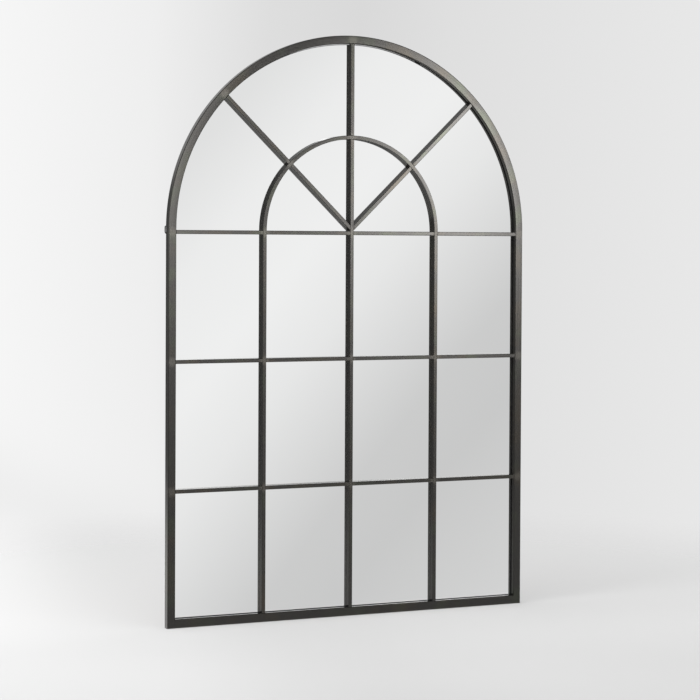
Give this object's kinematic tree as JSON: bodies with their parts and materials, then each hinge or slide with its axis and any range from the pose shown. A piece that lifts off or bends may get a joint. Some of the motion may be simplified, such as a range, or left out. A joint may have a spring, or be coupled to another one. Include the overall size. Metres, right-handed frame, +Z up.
{
  "type": "arched window mirror",
  "caption": "Arched window-pane wall mirror: dark steel tube frame with a semicircular head, fan of glazing bars in front of a mirror sheet, clipped back board and hanging rings.",
  "frame": {"origin": "middle of the bottom rail's underside, half way through the frame's depth, on the floor", "axes": "+X to the viewer's right, +Y from the glass to the back and the wall, +Z up"},
  "size_m": [1.004, 0.028, 1.5],
  "materials": {
    "patinated_steel": "dark gunmetal patina, satin, faintly mottled brown and green, ground bright at the welds and edges",
    "mirror_glass": "polished silvered glass",
    "backing_board": "brown hardboard, smooth face out",
    "zinc_steel": "bright zinc plate",
    "black_steel": "black zinc plate, satin",
    "rubber": "matt black rubber"
  },
  "bodies": {
    "root": {"left_stile": "patinated_steel", "right_stile": "patinated_steel", "bottom_rail": "patinated_steel", "outer_arch": "patinated_steel", "left_bar": "patinated_steel", "right_bar": "patinated_steel", "centre_bar": "patinated_steel", "top_centre_bar": "patinated_steel", "low_crossbar_far_left": "patinated_steel", "low_crossbar_left": "patinated_steel", "low_crossbar_right": "patinated_steel", "low_crossbar_far_right": "patinated_steel", "middle_crossbar_far_left": "patinated_steel", "middle_crossbar_left": "patinated_steel", "middle_crossbar_right": "patinated_steel", "middle_crossbar_far_right": "patinated_steel", "top_crossbar_far_left": "patinated_steel", "top_crossbar_left": "patinated_steel", "top_crossbar_right": "patinated_steel", "top_crossbar_far_right": "patinated_steel", "inner_arch": "patinated_steel", "left_inner_diagonal": "patinated_steel", "right_inner_diagonal": "patinated_steel", "left_outer_diagonal": "patinated_steel", "right_outer_diagonal": "patinated_steel", "mirror_glass": "mirror_glass", "backing_board": "backing_board", "left_stile_lower_clip": "zinc_steel", "left_stile_lower_clip_screw": "zinc_steel", "right_stile_lower_clip": "zinc_steel", "right_stile_lower_clip_screw": "zinc_steel", "left_stile_upper_clip": "zinc_steel", "left_stile_upper_clip_screw": "zinc_steel", "right_stile_upper_clip": "zinc_steel", "right_stile_upper_clip_screw": "zinc_steel", "rail_left_clip": "zinc_steel", "rail_left_clip_screw": "zinc_steel", "rail_right_clip": "zinc_steel", "rail_right_clip_screw": "zinc_steel", "arch_right_clip": "zinc_steel", "arch_right_clip_screw": "zinc_steel", "arch_upper_right_clip": "zinc_steel", "arch_upper_right_clip_screw": "zinc_steel", "arch_upper_left_clip": "zinc_steel", "arch_upper_left_clip_screw": "zinc_steel", "arch_left_clip": "zinc_steel", "arch_left_clip_screw": "zinc_steel", "left_ring_strap": "black_steel", "right_ring_strap": "black_steel", "left_strap_upper_screw": "zinc_steel", "left_strap_lower_screw": "zinc_steel", "right_strap_upper_screw": "zinc_steel", "right_strap_lower_screw": "zinc_steel", "left_wall_bumper": "rubber", "right_wall_bumper": "rubber"},
    "left_ring": {"left_hanging_ring": "black_steel"},
    "right_ring": {"right_hanging_ring": "black_steel"}
  },
  "joints": [
    {"name": "left_ring_hinge", "type": "hinge", "parent": "root", "child": "left_ring", "pos_m": [-0.4895, 0.014, 1.0055], "axis": [1, 0, 0], "range_deg": [0, 180]},
    {"name": "right_ring_hinge", "type": "hinge", "parent": "root", "child": "right_ring", "pos_m": [0.4895, 0.014, 1.0055], "axis": [1, 0, 0], "range_deg": [0, 180]}
  ]
}
